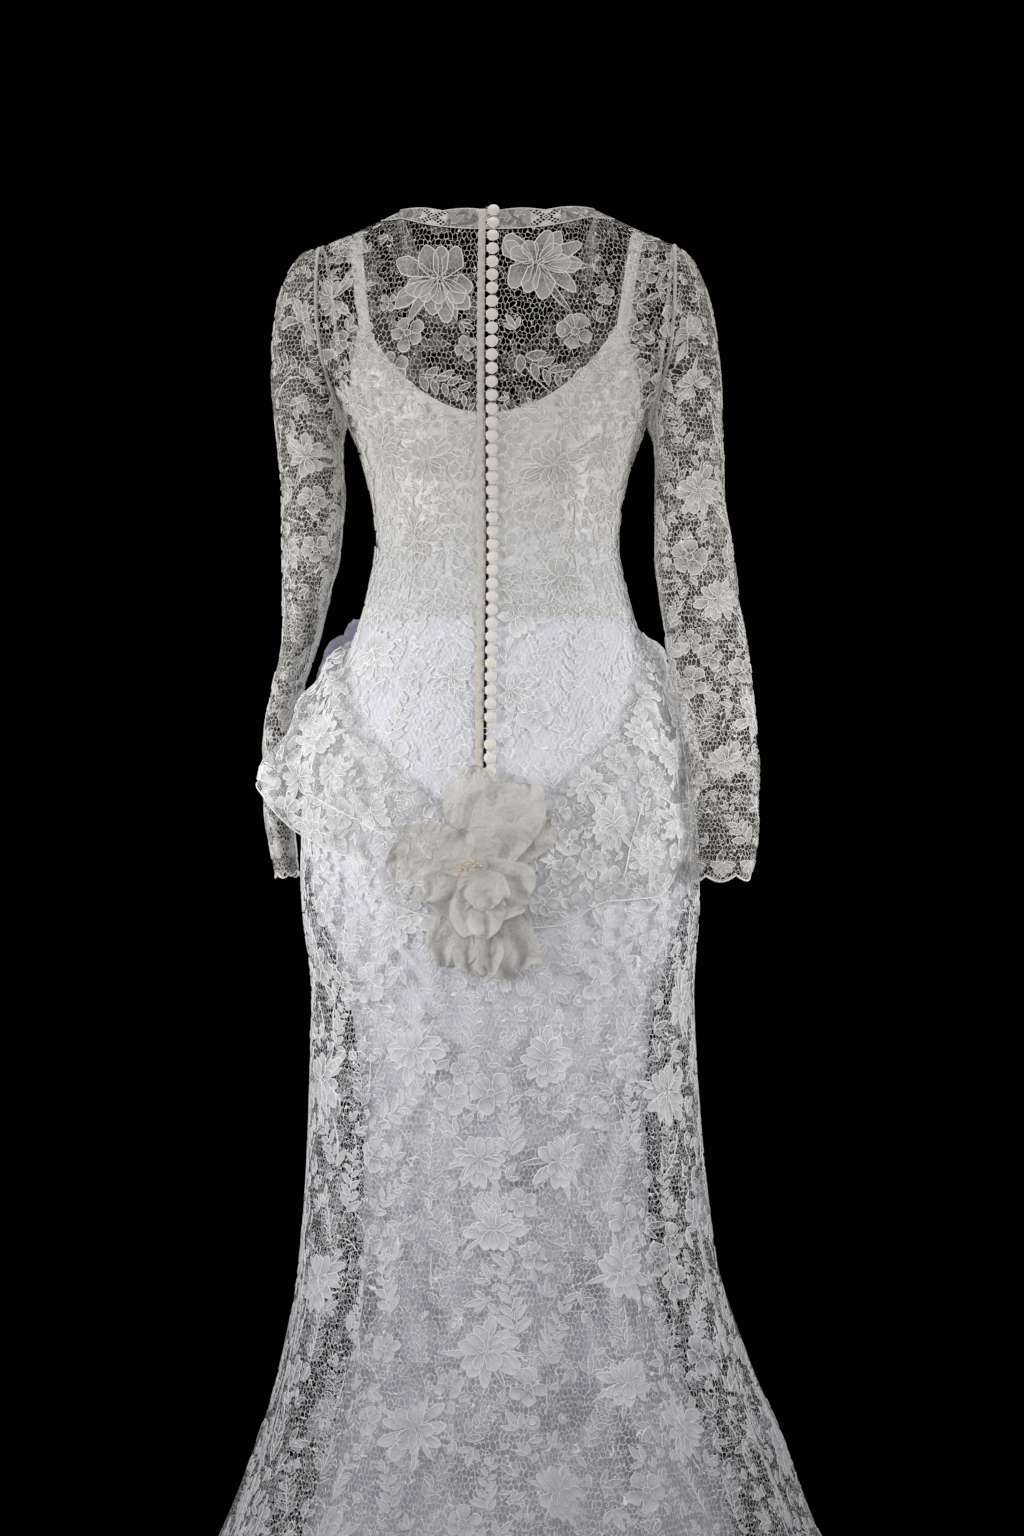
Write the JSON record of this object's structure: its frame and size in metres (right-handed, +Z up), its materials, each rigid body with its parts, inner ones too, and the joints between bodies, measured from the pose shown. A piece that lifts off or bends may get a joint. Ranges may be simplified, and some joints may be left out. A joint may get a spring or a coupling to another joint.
{
  "type": "wedding dress",
  "caption": "Long-sleeved lace wedding gown over a satin slip, with a buttoned back, gathered hip drapes, fabric flowers and a trumpet skirt.",
  "frame": {"origin": "on the centre line, level with the place where the slip's straps cross the wearer's shoulders", "axes": "+Z up along the wearer, -Y the way the wearer faces, +X the wearer's left"},
  "size_m": [0.7056, 0.7211, 1.4473],
  "materials": {
    "satin": "satin slip with a soft sheen",
    "lace": "corded lace, warm white",
    "skirt_lace": "corded lace, cool white",
    "tulle": "gathered tulle and lace",
    "organza": "crisp organza",
    "lilac": "soft organza, greyish lilac",
    "button": "satin over a domed form"
  },
  "bodies": {
    "root": {"slip_bodice": "satin", "slip_strap_left": "satin", "slip_strap_right": "satin", "slip_skirt": "satin", "lace_bodice_front": "lace", "lace_bodice_back_left": "lace", "lace_bodice_back_right": "lace", "neck_band": "lace", "sleeve_left": "lace", "sleeve_right": "lace", "loop_strip": "lace", "lace_skirt_front": "skirt_lace", "lace_skirt_back_left": "skirt_lace", "lace_skirt_back_right": "skirt_lace", "hip_drape_left": "tulle", "hip_drape_right": "tulle", "back_rose": "organza", "hip_flower": "lilac", "button_01": "button", "button_02": "button", "button_03": "button", "button_04": "button", "button_05": "button", "button_06": "button", "button_07": "button", "button_08": "button", "button_09": "button", "button_10": "button", "button_11": "button", "button_12": "button", "button_13": "button", "button_14": "button", "button_15": "button", "button_16": "button", "button_17": "button", "button_18": "button", "button_19": "button", "button_20": "button", "button_21": "button", "button_22": "button", "button_23": "button", "button_24": "button", "button_25": "button", "button_26": "button", "button_27": "button", "button_28": "button", "button_29": "button", "button_30": "button", "button_31": "button", "button_32": "button", "button_33": "button", "button_34": "button", "button_35": "button", "button_36": "button", "button_37": "button", "button_38": "button", "button_39": "button", "button_41": "button", "button_42": "button", "button_43": "button"}
  },
  "joints": []
}
